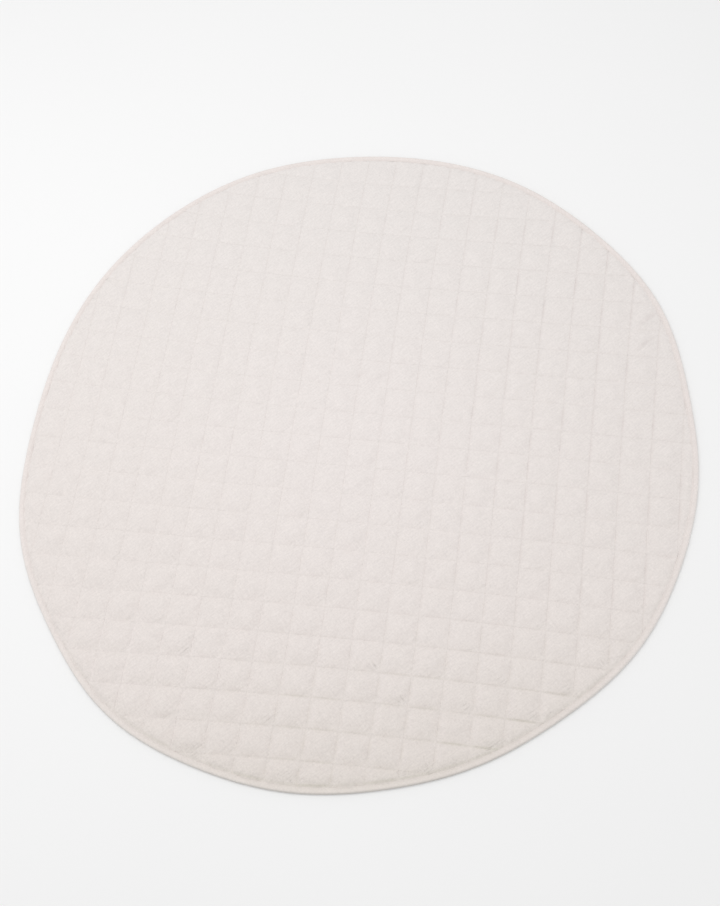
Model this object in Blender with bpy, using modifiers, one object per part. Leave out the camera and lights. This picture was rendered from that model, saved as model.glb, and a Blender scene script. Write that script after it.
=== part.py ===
# A round quilted play mat, laid out flat with its face up.
# The origin is the middle of the mat's footprint, at floor level. X runs along the rows of
# quilting, Y along its columns and Z up. All sizes are in metres, unless a name ends in _mm.
import math
from collections import namedtuple

import bmesh
import bpy

MM = 0.001

# The mat's edge, seen from above: a circle, drawn out by a few low waves.
MEAN_RADIUS = 0.5770
EDGE_STEPS = 96
Wave = namedtuple("Wave", "lobes swell_mm toward_deg")
EDGE_WAVES = (
    Wave(lobes=1, swell_mm=6.4, toward_deg=167),
    Wave(lobes=2, swell_mm=5.5, toward_deg=75),
    Wave(lobes=3, swell_mm=4.8, toward_deg=-3),
    Wave(lobes=4, swell_mm=4.5, toward_deg=-40),
    Wave(lobes=5, swell_mm=1.5, toward_deg=-19),
    Wave(lobes=6, swell_mm=0.85, toward_deg=28),
    Wave(lobes=7, swell_mm=0.85, toward_deg=-16),
    Wave(lobes=8, swell_mm=1.1, toward_deg=-22),
    Wave(lobes=9, swell_mm=1.4, toward_deg=-3),
    Wave(lobes=11, swell_mm=0.95, toward_deg=3),
    Wave(lobes=12, swell_mm=0.75, toward_deg=-2),
)

# The quilting: straight seams both ways, which wander a little where the cloth has crept.
CELL = 0.050
CELLS_EACH_WAY = 26
COLUMN_SEAM_X = -0.0078
ROW_SEAM_Y = 0.0108
Drift = namedtuple("Drift", "x_power y_power x_mm y_mm")
SEAM_DRIFT = (
    Drift(x_power=1, y_power=0, x_mm=3.2, y_mm=-1.9),
    Drift(x_power=0, y_power=1, x_mm=-4.6, y_mm=-10.3),
    Drift(x_power=2, y_power=0, x_mm=-3.4, y_mm=1.4),
    Drift(x_power=1, y_power=1, x_mm=-7.2, y_mm=-21.4),
    Drift(x_power=0, y_power=2, x_mm=3.6, y_mm=10.1),
    Drift(x_power=3, y_power=0, x_mm=-4.6, y_mm=-6.2),
    Drift(x_power=2, y_power=1, x_mm=7.7, y_mm=29.7),
    Drift(x_power=1, y_power=2, x_mm=5.0, y_mm=4.8),
    Drift(x_power=0, y_power=3, x_mm=8.6, y_mm=8.5),
)

# The puffs between the seams.
SEAM_HEIGHT = 0.0036
CROWN_HEIGHT = 0.0091
SHOULDER_PART = 0.25
SHOULDER_RISE = 0.66
FULLNESS_SPREAD = 0.17
FULLNESS_LEAN = -0.32
PARTS_PER_CELL = 3
SEAM_CREASE_DEG = 20

# The section through the mat's rim: it thins towards the edge, and its last centimetre is
# pressed flat inside the binding.
Corner = namedtuple("Corner", "inset_mm height_mm")
RIM_SECTION = (
    Corner(inset_mm=40.5, height_mm=14.0),
    Corner(inset_mm=21.0, height_mm=8.0),
    Corner(inset_mm=14.5, height_mm=6.0),
    Corner(inset_mm=11.2, height_mm=3.5),
    Corner(inset_mm=3.4, height_mm=3.5),
    Corner(inset_mm=2.6, height_mm=2.5),
    Corner(inset_mm=3.4, height_mm=1.5),
    Corner(inset_mm=11.0, height_mm=1.5),
    Corner(inset_mm=14.0, height_mm=-1.5),
)

# The section through the binding, folded over the rim: outside first, then inside the fold.
BINDING_SECTION = (
    Corner(inset_mm=10.5, height_mm=3.8),
    Corner(inset_mm=10.3, height_mm=4.7),
    Corner(inset_mm=6.2, height_mm=5.8),
    Corner(inset_mm=2.4, height_mm=5.4),
    Corner(inset_mm=0.0, height_mm=3.0),
    Corner(inset_mm=0.4, height_mm=1.0),
    Corner(inset_mm=2.0, height_mm=0.0),
    Corner(inset_mm=10.5, height_mm=0.0),
    Corner(inset_mm=10.5, height_mm=1.2),
    Corner(inset_mm=3.0, height_mm=1.2),
    Corner(inset_mm=1.8, height_mm=2.5),
    Corner(inset_mm=3.0, height_mm=3.8),
)

CLOTH_COLOUR = (0.79, 0.74, 0.70, 1.0)
BINDING_COLOUR = (0.78, 0.72, 0.68, 1.0)
CLOTH_ROUGHNESS = 0.92


def clear_scene():
    for old in list(bpy.data.objects):
        bpy.data.objects.remove(old, do_unlink=True)


def new_collection(name):
    made = bpy.data.collections.new(name)
    bpy.context.scene.collection.children.link(made)
    return made


def cloth_material(name, colour):
    material = bpy.data.materials.new(name)
    material.use_nodes = True
    shader = material.node_tree.nodes["Principled BSDF"]
    shader.inputs["Base Color"].default_value = colour
    shader.inputs["Roughness"].default_value = CLOTH_ROUGHNESS
    shader.inputs["Metallic"].default_value = 0.0
    return material


def edge_stretch(angle):
    """How far out the edge is in this direction, as a share of the mean radius."""
    swell = sum(
        wave.swell_mm * math.cos(wave.lobes * (angle - math.radians(wave.toward_deg)))
        for wave in EDGE_WAVES
    )
    return 1 + swell * MM / MEAN_RADIUS


def push_to_edge(points):
    """Draws points made round a plain circle out to the mat's own edge."""
    for point in points:
        stretch = edge_stretch(math.atan2(point.y, point.x))
        point.x *= stretch
        point.y *= stretch


def drifted(x, y):
    """Where a point of an even grid of seams lies on the mat."""
    across = x / MEAN_RADIUS
    along = y / MEAN_RADIUS
    moved_x = x
    moved_y = y
    for drift in SEAM_DRIFT:
        share = across**drift.x_power * along**drift.y_power
        moved_x += drift.x_mm * MM * share
        moved_y += drift.y_mm * MM * share
    return moved_x, moved_y


def fullness(column, row):
    """How full one puff is, near 1: fuller towards the front, with a scatter that never repeats."""
    scatter = math.sin(2.4 * column + 1.1 * row) * math.cos(1.7 * row - 0.9 * column)
    return 1 + FULLNESS_SPREAD * scatter + FULLNESS_LEAN * row * CELL / MEAN_RADIUS


def puff_height(column, row, rise):
    return SEAM_HEIGHT + (CROWN_HEIGHT - SEAM_HEIGHT) * rise * fullness(column, row)


def quilting_line(step):
    """The place of one grid line, in cells from the middle, and whether it is a seam."""
    cell, part = divmod(step, PARTS_PER_CELL)
    share = (0.0, SHOULDER_PART, 1 - SHOULDER_PART)[part]
    return cell - CELLS_EACH_WAY // 2 + share, part == 0


def quilted_slab(collection):
    """A square slab, flat below and with a puff in each cell above."""
    steps = CELLS_EACH_WAY * PARTS_PER_CELL
    bpy.ops.mesh.primitive_grid_add(x_subdivisions=steps, y_subdivisions=steps, size=2)
    slab = bpy.context.object
    slab.name = slab.data.name = "quilted_mat"
    for old in list(slab.users_collection):
        old.objects.unlink(slab)
    collection.objects.link(slab)

    work = bmesh.new()
    work.from_mesh(slab.data)
    for vert in work.verts:
        across, on_column_seam = quilting_line(round((vert.co.x + 1) / 2 * steps))
        along, on_row_seam = quilting_line(round((vert.co.y + 1) / 2 * steps))
        vert.co.x, vert.co.y = COLUMN_SEAM_X + CELL * across, ROW_SEAM_Y + CELL * along
        on_seam = on_column_seam or on_row_seam
        rise = 0.0 if on_seam else SHOULDER_RISE
        vert.co.z = puff_height(math.floor(across), math.floor(along), rise)
    middles = [face for face in work.faces if min(v.co.z for v in face.verts) > SEAM_HEIGHT]
    crowns = bmesh.ops.poke(work, faces=middles)["verts"]
    for vert in crowns:
        column = math.floor((vert.co.x - COLUMN_SEAM_X) / CELL)
        row = math.floor((vert.co.y - ROW_SEAM_Y) / CELL)
        vert.co.z = puff_height(column, row, 1.0)
    for vert in work.verts:
        vert.co.x, vert.co.y = drifted(vert.co.x, vert.co.y)

    rim = [edge for edge in work.edges if edge.is_boundary]
    walls = bmesh.ops.extrude_edge_only(work, edges=rim)["geom"]
    for item in walls:
        if isinstance(item, bmesh.types.BMVert):
            item.co.z = 0.0
    foot = [item for item in walls if isinstance(item, bmesh.types.BMEdge) and item.is_boundary]
    bmesh.ops.edgeloop_fill(work, edges=foot)
    bmesh.ops.triangulate(work, faces=[face for face in work.faces if len(face.verts) == 4])
    bmesh.ops.recalc_face_normals(work, faces=work.faces)
    work.to_mesh(slab.data)
    work.free()
    return slab


def turned(name, section, collection, closed):
    """Turns a section round the mat's middle, then draws the result out to the mat's edge."""
    mesh = bpy.data.meshes.new(name)
    points = [(MEAN_RADIUS - c.inset_mm * MM, 0.0, c.height_mm * MM) for c in section]
    if not closed:
        points = [(0.0, 0.0, points[0][2]), *points, (0.0, 0.0, points[-1][2])]
    edges = [(i, i + 1) for i in range(len(points) - 1)]
    if closed:
        edges.append((len(points) - 1, 0))
    mesh.from_pydata(points, edges, [])
    obj = bpy.data.objects.new(name, mesh)
    collection.objects.link(obj)
    screw = obj.modifiers.new("turn", "SCREW")
    screw.steps = screw.render_steps = EDGE_STEPS
    screw.use_merge_vertices = True
    screw.merge_threshold = 0.00001
    screw.use_smooth_shade = False
    bpy.context.view_layer.update()
    graph = bpy.context.evaluated_depsgraph_get()
    solid = bpy.data.meshes.new_from_object(obj.evaluated_get(graph))
    obj.modifiers.clear()
    obj.data = solid
    bpy.data.meshes.remove(mesh)
    solid.name = name
    push_to_edge([vert.co for vert in solid.vertices])
    return obj


def make_quilted_mat(parts, cutters):
    mat = quilted_slab(parts)
    rim = turned("rim_shape", RIM_SECTION, cutters, closed=False)
    rim.hide_render = True
    rim.display_type = "WIRE"
    trim = mat.modifiers.new("trim_to_round", "BOOLEAN")
    trim.operation = "INTERSECT"
    trim.solver = "EXACT"
    trim.object = rim
    mat.data.shade_smooth()
    mat.data.set_sharp_from_angle(angle=math.radians(SEAM_CREASE_DEG))
    mat.data.materials.append(cloth_material("quilted_cloth", CLOTH_COLOUR))
    return mat


def make_edge_binding(parts):
    binding = turned("edge_binding", BINDING_SECTION, parts, closed=True)
    binding.data.materials.clear()
    binding.data.materials.append(cloth_material("binding_cloth", BINDING_COLOUR))
    binding.data.shade_smooth()
    return binding


def main():
    clear_scene()
    parts = new_collection("play_mat")
    cutters = new_collection("play_mat_cutters")
    make_quilted_mat(parts, cutters)
    make_edge_binding(parts)


main()
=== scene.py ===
import math
from collections import namedtuple

import bpy
import numpy as np
from mathutils import Matrix, Vector


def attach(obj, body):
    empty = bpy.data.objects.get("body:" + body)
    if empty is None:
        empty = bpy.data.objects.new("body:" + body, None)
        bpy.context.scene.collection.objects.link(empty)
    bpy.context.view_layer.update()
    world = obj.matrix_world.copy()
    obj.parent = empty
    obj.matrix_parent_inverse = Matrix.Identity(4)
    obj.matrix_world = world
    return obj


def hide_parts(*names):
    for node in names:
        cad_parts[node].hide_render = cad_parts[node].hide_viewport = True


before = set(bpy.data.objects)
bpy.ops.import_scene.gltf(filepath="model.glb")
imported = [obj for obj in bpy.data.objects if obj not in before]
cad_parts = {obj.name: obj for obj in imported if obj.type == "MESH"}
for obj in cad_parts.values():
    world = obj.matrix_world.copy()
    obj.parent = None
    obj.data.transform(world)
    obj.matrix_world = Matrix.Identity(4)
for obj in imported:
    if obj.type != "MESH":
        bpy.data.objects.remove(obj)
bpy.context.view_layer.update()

MM = 0.001

# The mat's edge, seen from above: a circle, drawn out by a few low waves.
MEAN_RADIUS = 0.5770
Wave = namedtuple("Wave", "lobes swell_mm toward_deg")
EDGE_WAVES = [
    Wave(*row)
    for row in (
        (1, 6.4, 167), (2, 5.5, 75), (3, 4.8, -3), (4, 4.5, -40), (5, 1.5, -19), (6, 0.85, 28),
        (7, 0.85, -16), (8, 1.1, -22), (9, 1.4, -3), (11, 0.95, 3), (12, 0.75, -2),
    )
]

# The quilting: straight seams both ways, which wander a little where the cloth has crept.
CELL = 0.050
HALF_CELLS = 13
COLUMN_SEAM_X = -0.0078
ROW_SEAM_Y = 0.0108
Drift = namedtuple("Drift", "x_power y_power x_mm y_mm")
SEAM_DRIFT = [
    Drift(*row)
    for row in (
        (1, 0, 3.2, -1.9), (0, 1, -4.6, -10.3), (2, 0, -3.4, 1.4), (1, 1, -7.2, -21.4),
        (0, 2, 3.6, 10.1), (3, 0, -4.6, -6.2), (2, 1, 7.7, 29.7), (1, 2, 5.0, 4.8),
        (0, 3, 8.6, 8.5),
    )
]

# The puffs between the seams.
SEAM_HEIGHT = 0.0036
CROWN_HEIGHT = 0.0091
FULLNESS_SPREAD = 0.17
FULLNESS_LEAN = -0.32
FULLNESS_TURNS = ((2.4, 1.1), (-0.9, 1.7))
PINCH_WIDTH = 0.0011
PINCH_ARCH = 0.5
PUCKER_STRETCH = 1.3
PUCKER_SEEDS = (0.0, 37.0)
DRAG_TURN = math.radians(45)
DRAG_SCALE = (110.0, 28.0, 1.0)
RIM_TUCK = 0.0105
RIM_SHOULDER = 0.012
RIM_LIP = 0.0012
RIM_LIP_RUN = 0.001

# How near a seam a point of the mesh counts as on it, in cells.
ROUNDING = 1e-6
SEAM_SLACK = 1e-4

# How the scattered values change from cell to cell.
SCATTER_COLUMN_TURN = 12.9898
SCATTER_ROW_TURN = 78.233
SCATTER_STRETCH = 43.7585

# How much each colour deepens under the painted shade, in front and further back, for red, green
# and blue.
PAINTED_SHADE_DEPTH = (1.08, 1.0, 1.35)
BACK_PAINTED_SHADE_DEPTH = (0.82, 1.0, 1.0)

# Painted shade along the seams and behind the row seams, and painted light beside the column
# seams, where light catches the puffs, and at the crossings. Places and widths are in cells, and a
# minus makes the cloth paler.
SEAM_TONE = 0.050
SEAM_TONE_WIDTH = 0.034
SEAM_TONE_LEAST = 0.3
SEAM_TONE_SPREAD = 1.4
COLUMN_TONE_ASIDE = 0.022
COLUMN_TONE_SEED = 5.0
ROW_TONE_SEED = 9.0
CROSSING_TONE = -0.005
LIT_TONE = -0.018
LIT_PLACE = 0.15
LIT_WIDTH = 0.06
EAVE_TONE = 0.010
EAVE_PLACE = 0.14
EAVE_WIDTH = 0.09

# How strong the painted shade and painted light above are by place on the mat: shares of the tones
# above.
FRONT_START = 0.35
FRONT_REACH = 0.40
SIDE_STEEPNESS = 2
ROWS_EVERYWHERE = -0.35
ROWS_BACK = 0.15
ROWS_RIGHT = 0.25
ROWS_FRONT = 1.3
ROWS_FRONT_RIGHT = 0.4
ROWS_FRONT_LEFT = -1.1
COLUMNS_BACK = 0.28
COLUMNS_RIGHT = 0.95
COLUMNS_FRONT = 0.45
COLUMNS_FRONT_LEFT = -0.9
LIT_RIGHT = 0.5

# Painted shade inside the shaded rim and over the whole cloth towards the front, and painted
# light in its middle. Sizes are in metres.
SHADED_SIDE_DEG = -80
SHADED_SHARPNESS = 2.5
EDGE_TONE = 0.021
EDGE_TONE_PLACE = 0.014
EDGE_TONE_WIDTH = 0.014
FRONT_TONE = 0.042
FRONT_TONE_START = 0.33
FRONT_TONE_REACH = 0.27
FRONT_TONE_TOWARD_DEG = -75
MIDDLE_TONE = -0.020
MIDDLE_RADIUS = 0.28

# The marks that the sewing leaves on the puffs, in cells: dents in the bump with painted shade
# in them, and a line of painted shade inside the shaded rim. A choice is how sharply the cells
# with a mark differ from those without. A pair is the slope and the start of a value that grows
# by chance, towards the front or away from a seam.
ARC_RADIUS_SHARE = 0.92
ARC_SHORTER = (0.9, 0.5)
ARC_END_SHARPNESS = 12.0
ARC_OFTEN_TO_FRONT = 0.45
ARC_CHOICE = 3.0
STRIPE_SHARPNESS = 4.0
STROKES_PLACE = 0.26
STROKES_LENGTH = 0.13
STROKES_WIDTH = 0.15
STROKES_START = 3.0
STROKES_WAY_CHANCE = 0.45
STROKES_OFTEN = (0.35, -0.15)
STROKES_CHOICE = 5.0
CRUMPLES_ACROSS = 4.0
CRUMPLES_ALONG = 6.0
CRUMPLE_DETAIL = 3.0
CRUMPLE_LEAST = 0.35
RIM_PATCH_SCALE = 1.7
RIM_PATCH_OFTEN = 0.62
RIM_PATCH_CHOICE = 4.0
RIM_LINE_UNEVEN = (1.1, 0.35)
RIM_LINE_AT_SEAM = (5.0, 0.45)

# Where the marks beside the shaded rim are, in metres from the edge.
RIM_MARKS_PLACE = 0.017
RIM_MARKS_WIDTH = 0.007

# The weave.
WEAVE_TURN = math.radians(45)
WARP_SEED = 3.0
WEFT_SEED = 8.0
THREAD_DETAIL = 2.0
CLOUD_DETAIL = 3.0
CLOTH_RELIEF = 0.00016
CLOTH_SHEEN = 0.1

# Where the mesh lines of one cell lie, as shares of its side: close together near the seams.
FACE_LINES = (0, 0.02, 0.05, 0.10, 0.18, 0.28, 0.39, 0.50, 0.61, 0.72, 0.82, 0.90, 0.95, 0.98)
BACK_LINES = (0, 0.08, 0.29, 0.5, 0.71, 0.92)

# The back of the pad, and its edge inside the binding.
BACK_SEAM_RECESS = 0.0007
BACK_SEAM_WIDTH = 0.003
PAD_EDGE_INSET = 0.0034
PAD_EDGE_TOP = 0.0035
PAD_EDGE_FOOT = 0.0016
BACK_LIFT_RUN = 0.003

# Soft creases in the cloth, each a shallow trough with a lower ridge along one side of it. Those
# near the front carry short strokes, and some of the others a deeper tone of painted shade.
CREASE_RIDGE = 0.5
CREASE_RIDGE_OFF = 1.9
STROKES_SPREAD = 2.0
STROKES_FULL_DEPTH = 0.0012
STROKES_SHARE = 0.40
STROKES_FRONT = (0.50, 0.80)
CREASE_TONE_SPREAD = 1.3
Crease = namedtuple(
    "Crease", "x_mm y_mm heading_deg length_mm width_mm depth_mm tone", defaults=(0.0,)
)
CREASES = (
    Crease(471, 279, 46, 36, 5, 2.0, 0.09),
    Crease(466, 228, 45, 38, 5, 1.6, 0.06),
    Crease(-7, 130, 28, 32, 5, 1.2, 0.03),
    Crease(25, 127, 32, 40, 5, 1.6, 0.03),
    Crease(34, -29, 47, 24, 5, 1.2, 0.04),
    Crease(56, 427, 43, 30, 6, 1.2),
    Crease(81, 458, 43, 28, 6, 1.0),
    Crease(-310, -189, -2, 44, 5, 1.4),
    Crease(-489, -140, -53, 30, 6, 1.0),
    Crease(-433, -286, -27, 24, 5, 1.2),
    Crease(-427, -370, -61, 36, 6, 1.0),
    Crease(-175, -529, 21, 40, 6, 1.5),
    Crease(-126, -549, 18, 34, 5, 1.2),
    Crease(-29, -552, 40, 30, 5, 1.5),
    Crease(-12, -550, 44, 32, 5, 1.5),
    Crease(48, -549, 37, 26, 5, 1.2),
    Crease(34, -226, 40, 20, 5, 1.1),
    Crease(137, -417, 37, 24, 5, 1.6),
    Crease(279, -471, 43, 28, 6, 1.4),
    Crease(387, -379, 29, 22, 5, 1.6),
    Crease(528, -143, 11, 22, 5, 1.4),
    Crease(277, -258, 45, 38, 8, 1.0),
    Crease(440, -279, 47, 32, 8, 1.0),
)

# The section through the binding, folded over the rim: outside first, then inside the fold.
# Each corner is its inset and its height, in millimetres.
BINDING_SECTION = (
    (10.55, 3.85), (10.50, 4.20), (10.10, 4.55), (9.40, 4.72), (8.70, 4.82),
    (7.90, 5.12), (6.80, 5.52), (5.60, 5.70), (4.30, 5.72), (3.10, 5.55),
    (2.00, 5.15), (1.10, 4.45), (0.45, 3.60), (0.10, 2.70), (0.15, 1.75),
    (0.65, 0.85), (1.60, 0.25), (3.00, 0.00), (6.50, 0.00), (10.30, 0.00),
    (10.60, 0.50), (10.40, 1.10), (6.50, 1.20), (3.30, 1.20), (2.10, 1.80),
    (1.90, 2.50), (2.30, 3.30), (3.30, 3.80), (6.50, 3.85),
)
BINDING_STEPS = 1800
LAP_DEG = 51.0
LAP_LENGTH = 0.013
LAP_STEP = 0.0006
LAP_EDGE = 0.0012
Mark = namedtuple("Mark", "toward_deg length_mm lift_mm outward_mm")
BINDING_MARKS = [
    Mark(*row)
    for row in (
        (49.8, 5, -1.1, -0.5), (37.4, 5, -0.8, -0.4), (-10.3, 4, -0.6, -0.9),
        (-11.8, 6, 0.4, 0.6), (-49.0, 6, 0.5, 0.8), (-100.0, 16, 0.3, 0.4),
        (-63.0, 14, -0.3, -0.3), (-128.0, 12, 0.3, 0.3),
    )
]
BINDING_INNER_START = 20
# Painted shade on the strip's shaded side and towards the front, deepest at its outer line, and
# painted light on the outer line where the light falls.
BINDING_TONE = 0.215
BINDING_TONE_DEPTH = (1.08, 1.0, 0.95)
BINDING_FRONT_TONE = 0.058
BINDING_FRONT_DEPTH = (1.07, 1.0, 1.45)
BINDING_LIT_DEPTH = (0.0, -0.030, -0.032)

# Between which heights the strip's upper part begins, and between which distances from the
# edge its outer part and its outermost line end.
BINDING_UPPER = (0.0012, 0.0045)
BINDING_OUTER = (0.002, 0.008)
BINDING_OUTERMOST = (0.0005, 0.0034)

# The sewing. The binding's stitches follow one corner of its section.
STITCH_LINE = 4
QUILTING_STITCH_PITCH = 0.0035
BINDING_STITCH_PITCH = 0.0030
THREAD_WIDTH = 0.00045
THREAD_SINK = 0.00005
STITCH_LEAST = (0.9, 0.9, 0.9)
STITCH_MOST = (1.1, 1.1, 1.1)

# The colours of the cloth, the binding, the thread and the floor.
CLOTH_COLOUR = (0.764, 0.715, 0.690, 1.0)
BINDING_COLOUR = (0.773, 0.7135, 0.6875, 1.0)
THREAD_COLOUR = (0.790, 0.745, 0.715, 1.0)
FLOOR_COLOUR = (0.865, 0.865, 0.865, 1.0)

# The camera and the light.
CAMERA_PLACE = (0.35475, -0.80900, 2.00320)
CAMERA_TARGET = (0.01245, -0.01211, 0.0)
CAMERA_ROLL_DEG = -16.427
CAMERA_LENS_MM = 51.66
SENSOR_MM = 36.0
FLOOR_SIDE = 16.0
SKY_STRENGTH = 0.886
SKY_LEAN = (0.013, -0.014, 0.0)
SOFTBOX_PLACE = (-0.818, 0.214, 1.779)
SOFTBOX_SIZE = (3.0, 0.3)
SOFTBOX_POWER = 10.09


def fill(tree, sockets, inputs):
    """Joins each input to an output, or gives it a value."""
    for key, value in inputs.items():
        if isinstance(value, bpy.types.NodeSocket):
            tree.links.new(value, sockets[key])
        else:
            sockets[key].default_value = value


def place(tree, kind, inputs=None, **settings):
    """Adds a node with these settings and inputs."""
    node = tree.nodes.new(kind)
    for name, value in settings.items():
        setattr(node, name, value)
    fill(tree, node.inputs, inputs or {})
    return node


def made(tree, kind, inputs=None, **settings):
    """The first output of a new node."""
    return place(tree, kind, inputs, **settings).outputs[0]


def maths(tree, operation, *values):
    return made(tree, "ShaderNodeMath", dict(enumerate(values)), operation=operation)


def product(tree, first, *others):
    for other in others:
        first = maths(tree, "MULTIPLY", first, other)
    return first


def total(tree, first, *others):
    for other in others:
        first = maths(tree, "ADD", first, other)
    return first


def minus(tree, first, second):
    return maths(tree, "SUBTRACT", first, second)


def linear(tree, value, slope, start):
    """The value times the slope, and the start added."""
    return maths(tree, "MULTIPLY_ADD", value, slope, start)


def axes(tree, spot):
    return place(tree, "ShaderNodeSeparateXYZ", {0: spot}).outputs


def vector_maths(tree, operation, *values):
    inputs = dict(enumerate(values))
    return made(tree, "ShaderNodeVectorMath", inputs, operation=operation)


def scaled(tree, direction, size):
    inputs = {0: direction, "Scale": size}
    return made(tree, "ShaderNodeVectorMath", inputs, operation="SCALE")


def vector(tree, x, y, z=0.0):
    return made(tree, "ShaderNodeCombineXYZ", {0: x, 1: y, 2: z})


def socket_kind(value):
    """The kind of socket that takes a value like this one, or the kind that a word names."""
    if isinstance(value, str):
        return "NodeSocket" + value
    if isinstance(value, tuple):
        return "NodeSocketColor" if len(value) == 4 else "NodeSocketVector"
    return "NodeSocketInt" if isinstance(value, int) else "NodeSocketFloat"


def new_tree(name, kind, inputs, outputs):
    """A node tree with named sockets, and the outputs of its Group Input by name.

    An input is given by its first value, or by a word for its kind, as an output is.
    """
    tree = bpy.data.node_groups.new(name, kind)
    for key, value in inputs.items():
        socket = tree.interface.new_socket(key, in_out="INPUT", socket_type=socket_kind(value))
        if not isinstance(value, str):
            socket.default_value = value
    for key, word in outputs.items():
        tree.interface.new_socket(key, in_out="OUTPUT", socket_type=socket_kind(word))
    return tree, tree.nodes.new("NodeGroupInput").outputs


def geometry_tree(name, inputs):
    """A tree of geometry nodes that takes a shape and these inputs, and gives a shape."""
    shape = {"Geometry": "Geometry"}
    return new_tree(name, "GeometryNodeTree", {**shape, **inputs}, shape)


def kept_value(tree, name, kind="FLOAT"):
    """In geometry nodes, what add_values kept under this name."""
    inputs = {"Name": name}
    return made(tree, "GeometryNodeInputNamedAttribute", inputs, data_type=kind)


def kept_vector(tree, name):
    """In a material, the vector that add_values kept under this name."""
    return place(tree, "ShaderNodeAttribute", attribute_name=name).outputs["Vector"]


def smoothed(tree, shape):
    return made(tree, "GeometryNodeSetShadeSmooth", {"Geometry": shape})


def moved(tree, shape, offset):
    inputs = {"Geometry": shape, "Offset": offset}
    return smoothed(tree, made(tree, "GeometryNodeSetPosition", inputs))


def hand_out(tree, shape, cloth):
    """Ends a tree of geometry nodes: every instance made real, and all of it given the cloth."""
    whole = made(tree, "GeometryNodeRealizeInstances", {"Geometry": shape})
    clothed = place(tree, "GeometryNodeSetMaterial", {"Geometry": whole, "Material": cloth})
    place(tree, "NodeGroupOutput", {0: clothed.outputs[0]})


def shape_by(obj, tree, **values):
    """Runs a tree of geometry nodes over a piece and keeps the result as its plain mesh."""
    modifier = obj.modifiers.new(tree.name, "NODES")
    modifier.node_group = tree
    given = [item for item in tree.interface.items_tree if item.in_out == "INPUT"]
    sockets = {item.name: item.identifier for item in given}
    for name, value in values.items():
        modifier[sockets[name.replace("_", " ")]] = value
    graph = bpy.context.evaluated_depsgraph_get()
    old = obj.data
    shaped = bpy.data.meshes.new_from_object(obj.evaluated_get(graph), depsgraph=graph)
    obj.modifiers.remove(modifier)
    obj.data = shaped
    shaped.name = obj.name
    bpy.data.meshes.remove(old)
    return obj


def edge_stretch(angle):
    """How far out the edge is in each direction, as a share of the mean radius."""
    swell = sum(
        wave.swell_mm * np.cos(wave.lobes * (angle - math.radians(wave.toward_deg)))
        for wave in EDGE_WAVES
    )
    return 1 + swell * MM / MEAN_RADIUS


def drifted(x, y):
    """Where a point of an even grid of seams lies on the mat."""
    across = x / MEAN_RADIUS
    along = y / MEAN_RADIUS
    share = [across**d.x_power * along**d.y_power * MM for d in SEAM_DRIFT]
    moved_x = x + sum(d.x_mm * s for d, s in zip(SEAM_DRIFT, share))
    moved_y = y + sum(d.y_mm * s for d, s in zip(SEAM_DRIFT, share))
    return moved_x, moved_y


def fullness(column, row):
    """How full one puff is, near 1: fuller towards the front, with a scatter that never repeats."""
    (first_column, first_row), (second_column, second_row) = FULLNESS_TURNS
    uneven = np.sin(first_column * column + first_row * row)
    uneven = FULLNESS_SPREAD * uneven * np.cos(second_row * row + second_column * column)
    return 1 + uneven + FULLNESS_LEAN * row * CELL / MEAN_RADIUS


def scatter(column, row, seed):
    """An even scatter from 0 to 1, one value for each cell."""
    turn = SCATTER_COLUMN_TURN * column + SCATTER_ROW_TURN * row + seed
    return np.modf(np.abs(np.sin(turn)) * SCATTER_STRETCH)[0]


def hump(value, middle, width):
    """1 where a value is at the middle, falling off to 0 within about two widths of it."""
    return np.exp(-(((value - middle) / width) ** 2))


def smooth_step(low, high, value):
    share = np.clip((value - low) / (high - low), 0, 1)
    return share * share * (3 - 2 * share)


def crease_field(x, y, strengths, ridge=CREASE_RIDGE, spread=1.0):
    """How deep the placed creases are at each point, or how strong, with a strength for each."""
    depth = np.zeros_like(x)
    for crease, strength in zip(CREASES, strengths):
        turn = math.radians(crease.heading_deg)
        away_x = x - crease.x_mm * MM
        away_y = y - crease.y_mm * MM
        along = away_x * math.cos(turn) + away_y * math.sin(turn)
        across = away_y * math.cos(turn) - away_x * math.sin(turn)
        along = along / (crease.length_mm * MM / 2)
        across = across / (crease.width_mm * MM * spread / 2)
        fold = hump(across, 0, 1) - ridge * hump(across, CREASE_RIDGE_OFF, 1)
        depth += strength * hump(along, 0, 1) * fold
    return depth


def shaded_side(angle):
    """1 where the rim faces away from the light and 0 on its other sides."""
    return np.clip(np.cos(angle - math.radians(SHADED_SIDE_DEG)), 0, 1) ** SHADED_SHARPNESS


def seam_shares(x, y):
    """How strong the painted shade along the row and column seams, and the painted light beside
    them, is by place.
    """
    to_front, to_right = -y / MEAN_RADIUS, x / MEAN_RADIUS
    front = np.clip((to_front - FRONT_START) / FRONT_REACH, 0, 1)
    back, right, left = (
        np.clip(SIDE_STEEPNESS * toward, 0, 1) for toward in (-to_front, to_right, -to_right)
    )
    rows = front * (ROWS_FRONT + ROWS_FRONT_RIGHT * right + ROWS_FRONT_LEFT * left)
    rows = rows + ROWS_EVERYWHERE + ROWS_BACK * back + ROWS_RIGHT * right
    columns = COLUMNS_BACK * back + COLUMNS_RIGHT * right * (1 - front)
    columns = columns + front * (COLUMNS_FRONT * front * (1 - right) + COLUMNS_FRONT_LEFT * left)
    return rows, columns, front * (1 - left) * (1 + LIT_RIGHT * right), front


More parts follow.
